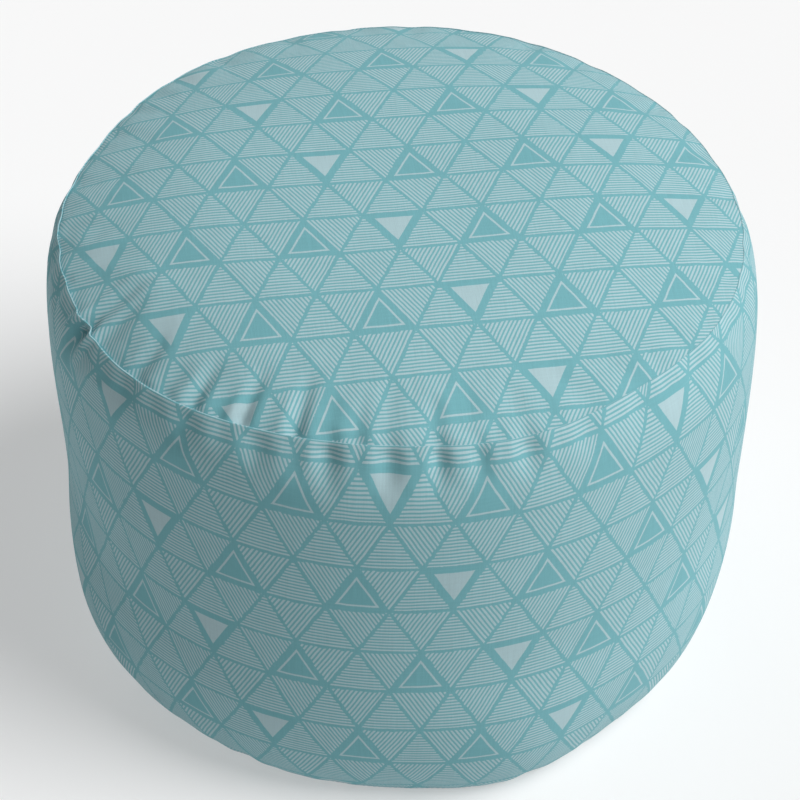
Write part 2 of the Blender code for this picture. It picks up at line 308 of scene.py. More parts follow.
# %% The lip and the closing seam
LIP_LEAST = 0.16 * MM
LIP_GROWTH = 0.11
LIP_LEAN = math.radians(26)
SEAM_GAP = 0.06 * MM
STITCH_PULL = 0.30
CLOSING_BEARING = 180.0
CLOSING_DEPTH = 1.3 * MM
CLOSING_HALF_WIDTH = 2.2 * MM


def lip_half(bearing):
    """Half the thickness of the wall's folded edge."""
    return LIP_LEAST + LIP_GROWTH * swell("valley", bearing)


def seam_pull(bearing):
    """How far the stitches pull the seam down where the wall is puckered."""
    return STITCH_PULL * drawn_in(WALL_PUCKERS, bearing, SEAM_RADIUS, 0.0, 1.0)


def seam_line(bearing):
    """Radius and height of the top of the wall's folded edge."""
    out, up = top_seam_shift(bearing)
    return SEAM_RADIUS + out, SEAM_HEIGHT + up - seam_pull(bearing)


def closing_groove(bearing):
    """How far the upright seam at the back draws the wall in."""
    along = np.radians(turn_from(CLOSING_BEARING, bearing)) * SEAM_RADIUS / CLOSING_HALF_WIDTH
    return CLOSING_DEPTH * np.exp(-along * along)


# %% [markdown]
# ## The three skins
#
# Each piece is a grid of rings that closes on itself, with a point at each pole, so the
# filled piece is one closed body. Its rings lie closer together near the seams, where
# the puckers are. Screw could turn the section, but it can't vary round the pouf, so the
# points come from the formulas above.
#
# The grid also gives each piece its map called cloth, in metres of the printed length that
# it is cut from: along and up the band for the wall, and across the round for the panels.
# The print and the weave follow it, as they follow the real cloth. The top round was cut a
# little off the straight, and stretching it over the crown has bowed its rows.

# %% Rings and maps
STEPS_ROUND = 320
WALL_RINGS = 58
PANEL_RINGS = 40
BASE_RINGS = 10
WALL_GRADING = 0.55
CLOTH_MAP = "cloth"
CUT_IN = 0.010
TOP_CUT_DEPTH = 0.016
FOOT_CUT_DEPTH = 0.012
PIECE_GAP = 0.4 * MM


def cut_from(flat, shift, turn=0.0, bow=0.0):
    """Where flat cloth lay on the printed length: bowed, turned and shifted."""
    across = flat[..., 0]
    up = flat[..., 1] - bow * across ** 2
    along = across * math.cos(turn) - up * math.sin(turn)
    rise = across * math.sin(turn) + up * math.cos(turn)
    return np.stack((along, rise), axis=-1) + shift


def graded(count, grading):
    """Shares from 0 to 1 that lie closer together near both ends."""
    share = np.linspace(0.0, 1.0, count)
    return share - grading * np.sin(2.0 * math.pi * share) / (2.0 * math.pi)


def halved(values):
    """The same run of values with one more between each two."""
    middles = (values[1:] + values[:-1]) / 2.0
    return np.append(np.stack((values[:-1], middles), axis=1).ravel(), values[-1])


def halved_round(bearing):
    """Bearings round the whole pouf with one more between each two."""
    return halved(np.append(bearing, bearing[0] + 360.0))[:-1]


def run_length(x, y):
    """Distances along a run of points."""
    steps = np.hypot(np.diff(x), np.diff(y))
    return np.concatenate(([0.0], np.cumsum(steps)))


def on_ring(bearing, radius, height):
    """Points of a ring from its radii and heights, one for each bearing."""
    angle = np.radians(bearing)
    radius = radius + 0.0 * angle
    height = height + 0.0 * angle
    return np.stack((radius * np.sin(angle), -radius * np.cos(angle), height), axis=-1)


def skin(name, rings, maps):
    """Make a closed mesh from rings of points; the first and the last ring are poles.

    rings has one row of points for each ring, and maps one row of (u, v) with one
    column more, because the map is cut open where the ring closes.
    """
    count, around = rings.shape[0] - 2, rings.shape[1]
    verts = np.concatenate((rings[0][:1], rings[1:-1].reshape(-1, 3), rings[-1][:1]))

    def vert(ring, step):
        if 0 < ring <= count:
            return 1 + (ring - 1) * around + step % around
        return 0 if ring == 0 else len(verts) - 1

    faces = []
    for step in range(around):
        after = step + 1
        faces.append(((0, step), (1, step), (1, after)))
        for ring in range(1, count):
            faces.append(((ring, step), (ring + 1, step), (ring + 1, after), (ring, after)))
        faces.append(((count, step), (count + 1, step), (count, after)))

    mesh = bpy.data.meshes.new(name)
    mesh.from_pydata(verts.tolist(), [], [[vert(*corner) for corner in face] for face in faces])
    layer = mesh.uv_layers.new(name=CLOTH_MAP)
    picks = np.array([corner for face in faces for corner in face])
    layer.uv.foreach_set("vector", maps[picks[:, 0], picks[:, 1]].astype(np.float32).ravel())
    body = bmesh.new()
    body.from_mesh(mesh)
    if body.calc_volume(signed=True) < 0:
        bmesh.ops.reverse_faces(body, faces=body.faces)
    volume = body.calc_volume()
    body.to_mesh(mesh)
    body.free()
    mesh.shade_smooth()
    print(f"{name}: {len(mesh.vertices)} points, {volume * 1000:.1f} litres")
    return add_object(name, mesh)


# %% [markdown]
# ## How the cloth settles
#
# Filled cloth isn't as smooth as a formula. Each piece is cut flat, so when it is sewn
# and filled it has a little cloth to spare, which finds its own small folds. Blender's
# cloth simulation gives these. The grid starts in its filled shape, a shape key holds the
# flat cut that its threads want to return to, its sewn edges are pinned, and a light
# pressure stands for the filling. A second group of points says where the cloth lies
# smooth, and the rest of it has length to spare, most of all where it is gathered at the
# seams. Gravity is off, because the filling carries the cloth.
#
# The result could be used as it is. Only its folds are kept: what moves a whole ring in
# or out is taken off, and the rest is capped, so the pouf keeps its size. The folds are
# then read on a grid twice as fine, as one step of subdivision would give. A Subdivision
# modifier on the closed piece would be slow, for hundreds of edges meet at each pole.

# %% Cloth simulation
LAST_FRAME = 20
SPARE_LENGTH = 0.05
CLOTH_SETTINGS = {
    "quality": 6, "mass": 0.25, "tension_stiffness": 25.0, "compression_stiffness": 25.0,
    "shear_stiffness": 8.0, "bending_stiffness": 0.5, "air_damping": 3.0,
    "shrink_min": -SPARE_LENGTH, "shrink_max": 0.0, "use_pressure": True, "uniform_pressure_force": 4.0,
}
FOLD_CAP = 6.0 * MM
FOLD_SMOOTHING = 2


def cloth_grid(name, rings):
    """An open mesh of rings, closed round the pouf, with its faces outwards."""
    count, around = rings.shape[:2]
    faces = []
    for here in range(0, (count - 1) * around, around):
        for step in range(around):
            after = here + (step + 1) % around
            faces.append((here + step, here + around + step, after + around, after))
    mesh = bpy.data.meshes.new(name)
    mesh.from_pydata(rings.reshape(-1, 3).tolist(), [], faces)
    return add_object(name, mesh)


def settled(rings, flat_cut, held, gathered):
    """Where the rings of cloth come to rest.

    held says how firmly each ring is pinned, and gathered how much spare length the
    cloth has at each point.
    """
    grid = cloth_grid("settling", rings)
    grid.shape_key_add(name="filled")
    cut = grid.shape_key_add(name="cut")
    cut.data.foreach_set("co", flat_cut.astype(np.float32).ravel())
    pins = grid.vertex_groups.new(name="sewn")
    around = rings.shape[1]
    for ring, weight in enumerate(held):
        pins.add(range(ring * around, (ring + 1) * around), float(weight), "REPLACE")
    smooth = grid.vertex_groups.new(name="smooth")
    for point, weight in enumerate(np.clip(1.0 - gathered, 0.0, 1.0).ravel().tolist()):
        smooth.add((point,), weight, "REPLACE")

    cloth = grid.modifiers.new("cloth", "CLOTH")
    cloth.point_cache.frame_end = LAST_FRAME
    for name, value in CLOTH_SETTINGS.items():
        setattr(cloth.settings, name, value)
    cloth.settings.vertex_group_mass = pins.name
    cloth.settings.vertex_group_shrink = smooth.name
    cloth.settings.rest_shape_key = cut
    cloth.settings.effector_weights.gravity = 0.0
    scene = bpy.context.scene
    for number in range(1, LAST_FRAME + 1):
        scene.frame_set(number)
    found = grid.evaluated_get(bpy.context.evaluated_depsgraph_get()).to_mesh()
    points = np.empty(len(found.vertices) * 3, dtype=np.float32)
    found.vertices.foreach_get("co", points)
    bpy.data.objects.remove(grid)
    scene.frame_set(1)
    return points.reshape(rings.shape).astype(float)


def evened(field):
    """Blur a grid of values a little, round the piece and across it."""
    field = (np.roll(field, 1, axis=1) + 2.0 * field + np.roll(field, -1, axis=1)) / 4.0
    inner = (field[:-2] + 2.0 * field[1:-1] + field[2:]) / 4.0
    return np.concatenate((field[:1], inner, field[-1:]))


def between(field, axis):
    """Put a point between each two along an axis, on a smooth curve through four."""
    field = np.moveaxis(field, axis, 0)
    padded = np.concatenate((2.0 * field[:1] - field[1:2], field, 2.0 * field[-1:] - field[-2:-1]))
    middle = (9.0 * (padded[1:-2] + padded[2:-1]) - padded[:-3] - padded[3:]) / 16.0
    paired = np.stack((field[:-1], middle), axis=1).reshape((-1,) + field.shape[1:])
    return np.moveaxis(np.concatenate((paired, field[-1:])), 0, axis)


def folds(rings, flat_cut, held, gathered):
    """The small folds of settled cloth, as movements on a grid twice as fine."""
    count, around = rings.shape[:2]
    moved = settled(rings, flat_cut, held, gathered) - rings
    outwards = rings * (1.0, 1.0, 0.0)
    outwards = outwards / np.linalg.norm(outwards, axis=-1, keepdims=True)
    radial = (moved * outwards).sum(axis=-1, keepdims=True)
    moved = moved - radial.mean(axis=1, keepdims=True) * outwards
    moved[..., 2] -= moved[..., 2].mean(axis=1, keepdims=True)
    for _ in range(FOLD_SMOOTHING):
        moved = evened(moved)
    length = np.linalg.norm(moved, axis=-1, keepdims=True)
    moved = moved * np.minimum(1.0, FOLD_CAP / np.maximum(length, MM / 1000.0))
    print(f"folds: typical {length.mean() / MM:.2f} mm, largest {length.max() / MM:.2f} mm")
    wrapped = np.concatenate((moved[:, -2:], moved, moved[:, :3]), axis=1)
    return between(between(wrapped, 1)[:, 4:4 + 2 * around], 0)


# %% [markdown]
# ## The side wall
#
# A straight band of cloth, a little longer than the two rounds that it is sewn to. That
# spare length is what puckers. The rings run from the cut under the top panel, over the
# lip, down the wall and round the foot to the cut above the base. The filling stretches
# the band a little, so its print is slightly larger than on the top.

# %% Side wall
LIP_STEPS = 5
FINE_STEPS = 1500
WALL_TUCKS = ((0.10 * MM, 3.6 * MM), (0.05 * MM, 1.4 * MM))
FOOT_TUCK = 1.6 * MM
CLOTH_PAST_SEAM = (0.020, 0.012)
CLOTH_IN_TUCK = 0.004
CLOTH_IN_LIP = 0.0025
CLOTH_UNDER_FOOT = (-0.002, -0.012, -0.020)
NEARLY_HELD = 0.6
GATHER_REACH = 0.060
FOOT_GATHER = 0.4
WIDEST = max(radius for _, radius in WALL_SECTION)
WALL_STRETCH = (1.05, 1.09)
WALL_SHIFT = (0.0071, 0.0160)
CLOSING_COLUMNS = (0.35, 0.75, 1.2)


def wall_bearings():
    """Even steps round the wall, with closer ones beside the upright seam at the back."""
    even = np.linspace(-180.0, 180.0, STEPS_ROUND, endpoint=False)
    apart = np.degrees(np.array(CLOSING_COLUMNS) * CLOSING_HALF_WIDTH / SEAM_RADIUS)
    extra = np.concatenate((-180.0 + apart, 180.0 - apart))
    return np.unique(np.concatenate((even, extra)).round(4))


def behind_lip(bearing):
    """The radius on the turned panel where it comes out from behind the lip."""
    return SEAM_RADIUS - 2.0 * lip_half(bearing) - SEAM_GAP


def panel_point(bearing, radius):
    """Where a point of the turned top panel really lies."""
    out, up = top_seam_shift(bearing)
    away = SEAM_RADIUS - radius
    dip = sum(share * np.exp(-away / length) for share, length in VALLEY_TERMS)
    lowered = swell("valley", bearing) * dip + seam_pull(bearing) * fading(away, PULL_FADE)
    crease = drawn_in(PANEL_PUCKERS, bearing, SEAM_RADIUS, away, PANEL_GRIP * fullness(bearing))
    height = crown_height(radius) + up * fading(away, SEAM_UP_FADE) - lowered - crease
    return radius + out * (radius / SEAM_RADIUS) ** RIM_POWER, height


def wall_point(bearing, height):
    """Where a point of the turned side wall really lies."""
    below_seam = SEAM_HEIGHT - height
    crease = drawn_in(WALL_PUCKERS, bearing, SEAM_RADIUS, below_seam, WALL_GRIP)
    crease = crease + drawn_in(FOOT_PUCKERS, bearing, FOOT_RADIUS, height - FOOT_HEIGHT, WALL_GRIP)
    radius = curve_through(WALL_SECTION, height) + uneven(bearing, height) - crease
    risen = (swell("seam_up", bearing) - seam_pull(bearing)) * fading(below_seam, SEAM_UP_FADE)
    return radius - closing_groove(bearing), height + risen


def wall_heights():
    """Heights of the wall's rings, from the top seam down, with their place on the cloth."""
    fine = np.linspace(FOOT_HEIGHT, SEAM_HEIGHT, FINE_STEPS)
    length = run_length(fine, curve_through(WALL_SECTION, fine))
    place = length[-1] * (1.0 - graded(WALL_RINGS, WALL_GRADING))
    return np.interp(place, length, fine), place


def wall_folds(bearing, heights, place):
    """The folds of the wall, whose flat cut is a straight band."""
    filled = np.array([on_ring(bearing, *wall_point(bearing, height)) for height in heights])
    band = np.array([on_ring(bearing, WIDEST, at) for at in place])
    held = np.zeros(len(heights))
    held[[0, -1]] = 1.0
    held[[1, -2]] = NEARLY_HELD
    top = fading(place[0] - place, GATHER_REACH)[:, None]
    foot = fading(place, GATHER_REACH)[:, None]
    return folds(filled, band, held, top * fullness(bearing) + FOOT_GATHER * foot)


def side_wall():
    """The side wall, from under the top panel over the lip and down to above the base."""
    columns = wall_bearings()
    heights, place = wall_heights()
    moved = wall_folds(columns, heights, place)
    bearing, heights, place = halved_round(columns), halved(heights), halved(place)
    half = lip_half(bearing)
    seam_radius, seam_height = seam_line(bearing)
    _, edge_height = panel_point(bearing, behind_lip(bearing))

    cut = on_ring(bearing, seam_radius - CUT_IN, seam_height - TOP_CUT_DEPTH - PIECE_GAP)
    rings = [on_ring(bearing, 0.0, SEAM_HEIGHT - TOP_CUT_DEPTH - PIECE_GAP), cut]
    across = [place[0] + past for past in CLOTH_PAST_SEAM]
    for inwards, down in WALL_TUCKS:
        rings.append(on_ring(bearing, seam_radius - 2.0 * half - inwards, edge_height - down))
        across.append(place[0] + CLOTH_IN_TUCK + down)
    for share in np.linspace(1.0, 0.0, LIP_STEPS):
        angle = LIP_LEAN + (math.pi - LIP_LEAN) * share
        radius = seam_radius - half + half * math.cos(angle)
        rings.append(on_ring(bearing, radius, seam_height - half + half * math.sin(angle)))
        across.append(place[0] + CLOTH_IN_LIP * share)
    for height, at, movement in zip(heights[2:], place[2:], moved[2:]):
        rings.append(on_ring(bearing, *wall_point(bearing, height)) + movement)
        across.append(at)
    foot = FOOT_RADIUS + foot_seam_shift(bearing)
    inside = FOOT_HEIGHT + FOOT_CUT_DEPTH + PIECE_GAP
    ends = ((foot - FOOT_TUCK, FOOT_HEIGHT + FOOT_TUCK), (foot - CUT_IN, inside), (0.0, inside))
    rings.extend(on_ring(bearing, *end) for end in ends)
    across.extend(CLOTH_UNDER_FOOT)

    along = np.radians(np.append(bearing, 180.0)) * WIDEST
    band = np.stack(np.broadcast_arrays(along[None, :], np.array(across)[:, None]), axis=-1)
    return skin("wall_cloth", np.array(rings), cut_from(band / WALL_STRETCH, WALL_SHIFT))


wall_cloth = side_wall()

# %% [markdown]
# ## The top panel
#
# A round of cloth that the filling crowns. It starts at its middle, comes down to the
# valley behind the lip, and tucks in under it. Its map is the flat round: each point lies
# as far from the middle as the cloth runs over the crown.

# %% Top panel
PANEL_GRADING = 0.78
STILL_MIDDLE = 0.30
PANEL_TURN = math.radians(-8.2)
PANEL_BOW = 0.62
PANEL_SHIFT = (0.0132, 0.0032)
PANEL_TUCKS = ((0.10 * MM, 0.9 * MM), (0.20 * MM, 2.6 * MM))


def flat_round(bearing, radius, height):
    """The flat cloth's (x, y) for rings given from the middle outwards."""
    length = np.zeros_like(radius)
    length[1:] = np.cumsum(np.hypot(np.diff(radius, axis=0), np.diff(height, axis=0)), axis=0)
    length = length + radius[:1]
    angle = np.radians(bearing)
    flat = np.stack((length * np.sin(angle), -length * np.cos(angle)), axis=-1)
    return np.concatenate((flat, flat[:, :1]), axis=1)


def panel_shares():
    """Shares of the panel's radius from the middle to the seam, closer near the seam."""
    share = np.linspace(0.0, 1.0, PANEL_RINGS + 1)[1:]
    return share + PANEL_GRADING * np.sin(math.pi * share) / math.pi


def panel_rings(bearing, shares):
    """Radii and heights of the panel's rings at shares of its radius."""
    return panel_point(bearing[None, :], shares[:, None] * behind_lip(bearing)[None, :])


def panel_folds(bearing, shares):
    """The folds of the panel, whose flat cut is a round; its middle stays still."""
    radius, height = panel_rings(bearing, shares)
    filled = on_ring(bearing[None, :], radius, height)
    flat = flat_round(bearing[None, :], radius, height)[:, :-1]
    level = np.full(flat.shape[:2] + (1,), SEAM_HEIGHT)
    cut = np.concatenate((flat, level), axis=-1)
    held = fading(shares - STILL_MIDDLE, STILL_MIDDLE)
    held[-2:] = (NEARLY_HELD, 1.0)
    gathered = fading((1.0 - shares) * SEAM_RADIUS, GATHER_REACH)[:, None] * fullness(bearing)
    first = int(np.argmax(shares > STILL_MIDDLE))
    moved = folds(filled[first:], cut[first:], held[first:], gathered[first:])
    return np.pad(moved, ((2 * first, 0), (0, 0), (0, 0)))


def round_skin(name, bearing, radii, heights, poles, moved, cut):
    """A round of cloth from its rings, its poles' heights, its folds and its cut."""
    around = on_ring(bearing, radii, heights) + moved
    first, last = (on_ring(bearing, 0.0, height) for height in poles)
    flat = flat_round(bearing, radii, heights)
    flat = np.concatenate((np.zeros_like(flat[:1]), flat, flat[-1:]))
    return skin(name, np.concatenate((first, around, last)), cut_from(flat, *cut))


def top_panel():
    """The top panel, from its middle outwards and in under the lip."""
    columns = np.linspace(-180.0, 180.0, STEPS_ROUND, endpoint=False)
    shares = panel_shares()
    moved = panel_folds(columns, shares)
    bearing = halved_round(columns)
    radius, height = panel_rings(bearing, halved(shares))
    seam_radius, seam_height = seam_line(bearing)
    tucks = [(radius[-1] - inwards, height[-1] - down) for inwards, down in PANEL_TUCKS]
    tucks.append((seam_radius - CUT_IN, seam_height - TOP_CUT_DEPTH))
    radii = np.concatenate((radius, [tuck[0] for tuck in tucks]))
    heights = np.concatenate((height, [tuck[1] for tuck in tucks]))
    moved = np.pad(moved, ((0, len(tucks)), (0, 0), (0, 0)))
    poles = (crown_height(0.0), SEAM_HEIGHT - TOP_CUT_DEPTH)
    cut = (PANEL_SHIFT, PANEL_TURN, PANEL_BOW)
    return round_skin("top_cloth", bearing[None, :], radii, heights, poles, moved, cut)


top_cloth = top_panel()

# %% [markdown]
# ## The base panel
#
# The round underneath, which the filling and the weight press flat. It doesn't show in
# the picture, so it is finished plainly: flat where it rests, with a small rise to the
# foot seam.

# %% Base panel
FLAT_SHARE = 0.93
BASE_EDGE = ((0.2105, 0.0), (0.2160, 0.0003), (0.2190, 0.0010))


def base_panel():
    """The base panel, from its middle outwards and in above the foot."""
    bearing = np.linspace(-180.0, 180.0, 2 * STEPS_ROUND, endpoint=False)[None, :]
    out = foot_seam_shift(bearing)
    rows = [(FOOT_RADIUS * share, 0.0) for share in np.linspace(0.0, FLAT_SHARE, BASE_RINGS + 1)[1:]]
    rows.extend(BASE_EDGE)
    radius, height = (column[:, None] for column in np.array(rows).T)
    radius = radius + out * (radius / FOOT_RADIUS) ** RIM_POWER
    foot = FOOT_RADIUS + out
    radii = np.concatenate((radius, foot - FOOT_TUCK, foot - CUT_IN))
    inside = FOOT_HEIGHT + FOOT_CUT_DEPTH
    rise = np.array((FOOT_HEIGHT + 0.5 * FOOT_TUCK, inside))[:, None]
    heights = np.concatenate((height, rise)) + 0.0 * bearing
    return round_skin("base_cloth", bearing, radii, heights, (0.0, inside), 0.0, (PANEL_SHIFT,))


base_cloth = base_panel()

# %% [markdown]
# ## Sums in nodes
#
# A pattern in a shader is a sum worked out at each point of the surface. Built from Math
# nodes by hand it takes dozens of lines. This small class lets the script write the sum
# as ordinary Python, and each operator adds its node.

# %% Node helpers


def feed(tree, socket, value):
    """Link an input to a value that varies, or set it to one that doesn't."""
    if isinstance(value, Sum):
        value = value.socket
    if isinstance(value, bpy.types.NodeSocket):
        tree.links.new(value, socket)
    else:
        socket.default_value = value


def add_node(tree, kind, inputs=None, **settings):
    """Add a node, set it up, and feed its inputs, by name or by number."""
    made = tree.nodes.new(kind)
    for name, value in settings.items():
        setattr(made, name, value)
    for place, value in (inputs or {}).items():
        feed(tree, made.inputs[place], value)
    return made


class Sum:
    """A value that varies over a surface, kept as the output of a node."""

    def __init__(self, tree, socket):
        self.tree = tree
        self.socket = socket

    def step(self, operation, *others):
        """Add one Math node that starts from this value."""
        values = dict(enumerate((self, *others)))
        made = add_node(self.tree, "ShaderNodeMath", values, operation=operation)
        return Sum(self.tree, made.outputs[0])

    __add__ = partialmethod(step, "ADD")
    __sub__ = partialmethod(step, "SUBTRACT")
    __mul__ = partialmethod(step, "MULTIPLY")
    __truediv__ = partialmethod(step, "DIVIDE")
    __mod__ = partialmethod(step, "FLOORED_MODULO")
    whole = partialmethod(step, "FLOOR")
    is_above = partialmethod(step, "GREATER_THAN")
    least = partialmethod(step, "MINIMUM")
    most = partialmethod(step, "MAXIMUM")
    apart = partialmethod(step, "ABSOLUTE")

    def is_number(self, number):
        """1 where this whole number is the given one, else 0."""
        return self.step("COMPARE", number, 0.5)

    def rises_at(self, level, softness):
        """Rise smoothly from 0 to 1 where this value passes a level."""
        values = {"Value": self, "From Min": level - softness, "From Max": level + softness}
        made = add_node(self.tree, "ShaderNodeMapRange", values, interpolation_type="SMOOTHSTEP")
        return Sum(self.tree, made.outputs["Result"])

    def picks(self, first, second):
        """First where this value is 0, second where it is 1."""
        values = {0: self, 2: first, 3: second}
        made = add_node(self.tree, "ShaderNodeMix", values, data_type="FLOAT")
        return Sum(self.tree, made.outputs[0])


def new_group(name, sizes, outputs):
    """A shader node group that reads the map of the cloth and named sizes.

    It gives the group, the map, a sum for each size, and the inputs of its end.
    """
    group = bpy.data.node_groups.new(name, "ShaderNodeTree")
    new_socket = group.interface.new_socket
    new_socket("Cloth", in_out="INPUT", socket_type="NodeSocketVector")
    for label, value in sizes.items():
        new_socket(label, in_out="INPUT", socket_type="NodeSocketFloat").default_value = value
    for label in outputs:
        new_socket(label, in_out="OUTPUT", socket_type="NodeSocketFloat")
    start = group.nodes.new("NodeGroupInput").outputs
    end = group.nodes.new("NodeGroupOutput").inputs
    return group, start["Cloth"], [Sum(group, start[label]) for label in sizes], end


def noise(tree, vector, scale, detail=2.0, stretch=None):
    """A noise texture's value from -0.5 to 0.5, if wished stretched along an axis."""
    if stretch is not None:
        mapping = add_node(tree, "ShaderNodeMapping", {"Vector": vector, "Scale": stretch})
        vector = mapping.outputs["Vector"]
    made = add_node(tree, "ShaderNodeTexNoise", {"Vector": vector, "Scale": scale, "Detail": detail})
    return Sum(tree, made.outputs["Fac"]) - 0.5


def wobbled(tree, vector, scales, detail, reach):
    """The X and Y of a vector, each moved by noise by up to half of reach."""
    split = add_node(tree, "ShaderNodeSeparateXYZ", {"Vector": vector}).outputs
    return [Sum(tree, split[axis]) + noise(tree, vector, scale, detail) * reach
            for axis, scale in zip("XY", scales)]


def scattered(tree, *numbers):
    """A random value from -0.5 to 0.5, the same wherever three numbers are the same."""
    joined = add_node(tree, "ShaderNodeCombineXYZ", dict(enumerate(numbers)))
    made = add_node(tree, "ShaderNodeTexWhiteNoise", {"Vector": joined.outputs["Vector"]})
    return Sum(tree, made.outputs["Value"]) - 0.5


# %% [markdown]
# ## The print: triangles filled with fine lines
#
# The print is plain geometry: a net of like triangles. Those that stand on a side are
# hatched level, the others along one of their slanting sides in turn. Here and there one
# is only outlined, or filled. It could be painted as an image. A formula stays sharp at
# any size, and it needs no file.
#
# In slanted coordinates the net becomes squares, and each square holds two triangles. In
# a triangle, three numbers say how far a point is from each side. The smallest of them
# gives the margin, and any one of them gives the hatching. Slow noise wobbles the lines,
# because the print looks drawn by hand. Which triangles are outlined or filled follows a
# rule of its own, and not the picture's places.

# %% Hatched triangles
PRINT_PITCH = 0.0404
PRINT_ROW = 0.0364
LINE_SHARE = 0.54
HATCH_LINES = 13.5
HATCH_MARGIN = 0.035
LINE_ENDS = 0.024
HATCH_EDGE = 0.008
OUTLINE_MARGIN = 0.100
OUTLINE_WIDTH = 0.040
FILLED_MARGIN = 0.118
SHAPE_EDGE = 0.006
SHAPE_RAGGED = 0.4
ACCENTS_REPEAT = 5.0
OUTLINED_AT = (0.0, 2.0)
FILLED_AT = 3.0
WOBBLE_SCALES = (55.0, 62.0)
HAND_WOBBLE = 0.55 * MM
RAGGED_SCALE = 700.0
RAGGED = 0.030
THICKNESS_SCALE = 90.0
THICKNESS_CHANGE = 0.16
INK_EDGE = 0.09


def hatched_triangles():
    """A node group: the mask of the print, 1 where the pale ink is."""
    sizes = {"Pitch": PRINT_PITCH, "Row Height": PRINT_ROW, "Line Share": LINE_SHARE}
    group, cloth, (pitch, row_height, line_share), end = new_group("hatched triangles", sizes, ("Print",))
    x, y = wobbled(group, cloth, WOBBLE_SCALES, 2.0, 2.0 * HAND_WOBBLE)

    slant_y = y / row_height
    slant_x = x / pitch - slant_y * 0.5
    row = slant_y.whole()
    column = slant_x.whole()
    across = slant_x - column
    up = slant_y - row
    both = across + up
    hangs = both.is_above(1.0)
    from_level = hangs.picks(up, up * -1.0 + 1.0)
    from_left = hangs.picks(across, across * -1.0 + 1.0)
    from_right = (both - 1.0).apart()
    nearest = from_level.least(from_left).least(from_right)

    odd = (row + column) % 2.0
    slanted = odd.picks(from_left, from_right)
    measure = hangs.picks(from_level, slanted)
    ragged = noise(group, cloth, RAGGED_SCALE, 1.0) * RAGGED
    thick = noise(group, cloth, THICKNESS_SCALE, 1.0) * THICKNESS_CHANGE
    count = (measure - HATCH_MARGIN) * HATCH_LINES + 0.5 - line_share * 0.5
    wave = (count % 1.0 - 0.5).apart() * 2.0
    lines = (line_share + thick - wave).rises_at(0.0, INK_EDGE)
    ends = scattered(group, column, row + hangs * 0.5, count.whole()) * LINE_ENDS
    hatching = lines * (nearest + ragged + ends).rises_at(HATCH_MARGIN, HATCH_EDGE)

    margins = (OUTLINE_MARGIN, OUTLINE_MARGIN + OUTLINE_WIDTH, FILLED_MARGIN)
    shape = nearest + ragged * SHAPE_RAGGED
    outer, inner, filled = (shape.rises_at(margin, SHAPE_EDGE) for margin in margins)

    place = (column + row + 0.5).whole() % ACCENTS_REPEAT
    accent_row = (row % 2.0).is_number(0.0)
    first, second = (place.is_number(at) for at in OUTLINED_AT)
    is_outlined = (hangs * -1.0 + 1.0) * accent_row * first.most(second)
    is_filled = hangs * accent_row * place.is_number(FILLED_AT)
    printed = is_outlined.picks(hatching, outer - inner)
    feed(group, end["Print"], is_filled.picks(printed, filled))
    return group


PRINT_GROUP = hatched_triangles()
print("print group:", len(PRINT_GROUP.nodes), "nodes")

# %% [markdown]
# ## The weave
#
# Close up, the cloth is a plain weave of slightly uneven threads, like a fine canvas: each
# thread goes over one and under the next. Its bumps could be modelled, but at two thirds
# of a millimetre they are far too small for that, so a group gives their height to a Bump
# node, and to the colour a little painted shade between the threads, beside the uneven
# threads' own tone.

# %% Plain weave
THREAD = 0.62 * MM
THREAD_DRIFT_SCALES = (260.0, 230.0)
THREAD_ROUNDNESS = 0.6
WARP_SLUBS = (900.0, 40.0, 1.0)
WEFT_SLUBS = (40.0, 800.0, 1.0)
WEFT_SHARE = 0.7
SLUB_HEIGHT = 0.9
SLUB_TONE = 0.16
# How much painted shade darkens the cloth between the threads.
THREAD_GAP_SHADE = 0.10
LEAST_TONE = 0.95


def plain_weave():
    """A node group: the height of the threads, and the tone of the cloth, with painted shade between the
    threads.
    """
    group, cloth, (thread,), end = new_group("plain weave", {"Thread": THREAD}, ("Height", "Tone"))
    x, y = wobbled(group, cloth, THREAD_DRIFT_SCALES, 1.0, 0.5 * THREAD)
    across = x / thread
    along = y / thread
    checker = (across.whole() + along.whole()) % 2.0
    warp, weft = ((run % 1.0 - 0.5).apart() * -2.0 + 1.0 for run in (across, along))
    over = checker.picks(warp, weft)
    under = checker.picks(weft, warp)
    threads = over.step("POWER", THREAD_ROUNDNESS) * (under * 0.5 + 0.5)
    thick_warp, thick_weft = (noise(group, cloth, 1.0, stretch=by) for by in (WARP_SLUBS, WEFT_SLUBS))
    slubs = thick_warp + thick_weft * WEFT_SHARE
    feed(group, end["Height"], threads + slubs * SLUB_HEIGHT)
    # Painted shade: the tone drops where the threads dip between each other; the slubs give the threads'
    # own uneven tone.
    feed(group, end["Tone"], threads * THREAD_GAP_SHADE + slubs * SLUB_TONE + LEAST_TONE)
    return group


WEAVE_GROUP = plain_weave()
print("weave group:", len(WEAVE_GROUP.nodes), "nodes")

# %% [markdown]
# ## The printed cloth
#
# All three pieces are cut from one cloth, so they share one material, and only their maps
# differ. It could hold the print and the weave itself. The two groups keep it short, and
# it adds slow patches of tone. Cotton is matt, with a faint sheen where it is seen edge
# on. The values that are the same all over stay on the shader itself.

# %% Cloth materials
GROUND = (0.170, 0.412, 0.454, 1.0)
INK = (0.396, 0.553, 0.588, 1.0)
CLOTH_SHINE = {"Specular IOR Level": 0.12, "Sheen Weight": 0.04, "Sheen Roughness": 0.5}
CLOTH_ROUGHNESS = 0.86
ROUGHNESS_SCALE = 30.0
ROUGHNESS_CHANGE = 0.08
PATCH_SCALE = 9.0
PATCH_CHANGE = 0.07
WEAVE_HEIGHT = 0.09 * MM


def new_material(name, values):
    """A material, its tree and its shader's inputs, with what is the same all over set."""
    material = bpy.data.materials.new(name)
    material.use_nodes = True
    tree = material.node_tree
    shader = tree.nodes["Principled BSDF"].inputs
    for label, value in values.items():
        shader[label].default_value = value
    return material, tree, shader


